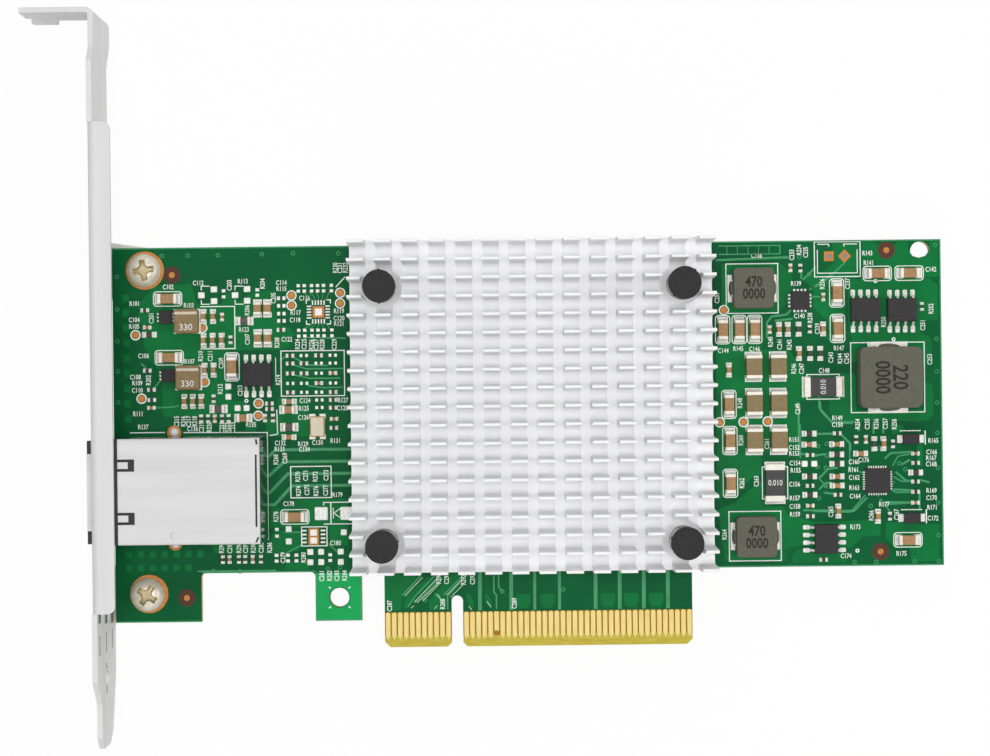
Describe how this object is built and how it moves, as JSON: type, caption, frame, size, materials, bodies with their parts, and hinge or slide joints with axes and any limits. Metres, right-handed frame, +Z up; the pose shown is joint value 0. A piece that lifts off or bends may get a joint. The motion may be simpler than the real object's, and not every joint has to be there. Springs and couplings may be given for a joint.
{
  "type": "network interface card",
  "caption": "Circuit board for a computer slot with a pin-fin heat sink, a shielded network jack, edge contacts and a folded slot bracket.",
  "frame": {"origin": "middle of the key notch at the contact edge, on the component face of the board", "axes": "+X along the board away from the bracket, +Y from the contact edge into the board, +Z up out of the component face"},
  "size_m": [0.1501, 0.12, 0.0184],
  "materials": {
    "board_laminate": "green solder mask over glass laminate",
    "contact_gold": "thin gold plating",
    "bracket_steel": "satin plated sheet",
    "screw_steel": "bright plated steel",
    "shield_metal": "satin plated thin sheet",
    "jack_plastic": "moulded black",
    "lens_plastic": "clear moulded",
    "pin_tin": "tinned",
    "sink_aluminium": "clear anodised",
    "lid_metal": "plated lid",
    "substrate_laminate": "solder mask",
    "thermal_pad": "soft pad",
    "push_pin_nylon": "moulded dark grey",
    "spring_wire": "drawn wire",
    "large_core": "pressed metal powder",
    "small_core": "pressed metal powder",
    "tin_plate": "tinned",
    "chip_epoxy": "moulded black",
    "crystal_ceramic": "gold-edged package",
    "crystal_metal": "welded lid",
    "sense_body": "black coat",
    "capacitor_ceramic": "fired tan ceramic",
    "bead_ceramic": "fired grey ceramic",
    "resistor_coat": "black coat on white ceramic"
  },
  "bodies": {
    "root": {"circuit_board": "board_laminate", "edge_contacts_front": "contact_gold", "edge_contacts_back": "contact_gold", "bracket": "bracket_steel", "bracket_screws": "screw_steel", "jack_shield": "shield_metal", "jack_housing": "jack_plastic", "jack_lenses": "lens_plastic", "jack_contacts": "contact_gold", "jack_pins": "pin_tin", "controller_substrate": "substrate_laminate", "controller_lid": "lid_metal", "thermal_pad": "thermal_pad", "heat_sink": "sink_aluminium", "push_pins": "push_pin_nylon", "push_pin_springs": "spring_wire", "large_inductor_body": "large_core", "large_inductor_terminals": "tin_plate", "medium_inductor_bodies": "large_core", "medium_inductor_terminals": "tin_plate", "small_inductor_bodies": "small_core", "small_inductor_terminals": "tin_plate", "lead_chip_bodies": "chip_epoxy", "lead_chip_leads": "pin_tin", "leadless_chip_bodies": "chip_epoxy", "diode_bodies": "chip_epoxy", "diode_leads": "pin_tin", "crystal_base": "crystal_ceramic", "crystal_lid": "crystal_metal", "sense_resistor_bodies": "sense_body", "sense_resistor_ends": "tin_plate", "bulk_capacitor_bodies": "capacitor_ceramic", "bulk_capacitor_ends": "tin_plate", "large_capacitors": "capacitor_ceramic", "medium_capacitors": "capacitor_ceramic", "ferrite_beads": "bead_ceramic", "small_capacitors": "capacitor_ceramic", "chip_resistors": "resistor_coat"}
  },
  "joints": []
}
